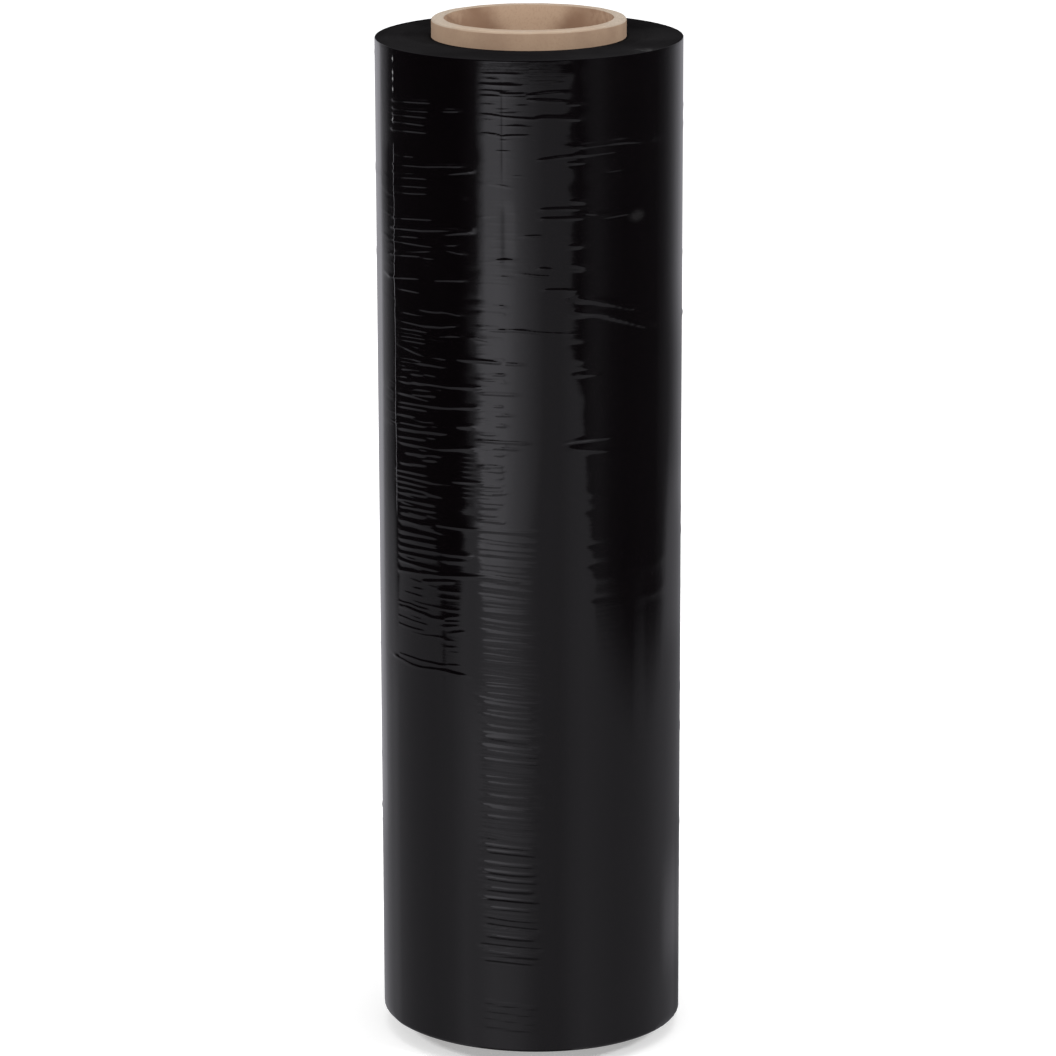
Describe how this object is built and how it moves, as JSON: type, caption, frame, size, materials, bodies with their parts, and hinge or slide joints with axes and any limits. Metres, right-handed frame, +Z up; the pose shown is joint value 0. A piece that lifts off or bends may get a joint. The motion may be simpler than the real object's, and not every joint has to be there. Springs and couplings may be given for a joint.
{
  "type": "stretch wrap roll",
  "caption": "Roll of glossy black stretch film wound on an open paperboard core, standing on end, with small creases pulled round its side and a loose film edge.",
  "frame": {"origin": "centre of the core's lower end, on the floor the roll stands on", "axes": "+Z up along the core; the front seen in the picture faces -Y; the loose edge of the film is 60 degrees round to the left of the front"},
  "size_m": [0.139, 0.1392, 0.474],
  "materials": {
    "black_film": "glossy, smooth and tight with fine creases round the roll",
    "core_board": "matt brown paperboard, wound in spiral plies"
  },
  "bodies": {
    "root": {"core_tube": "core_board", "film_winding": "black_film"}
  },
  "joints": []
}
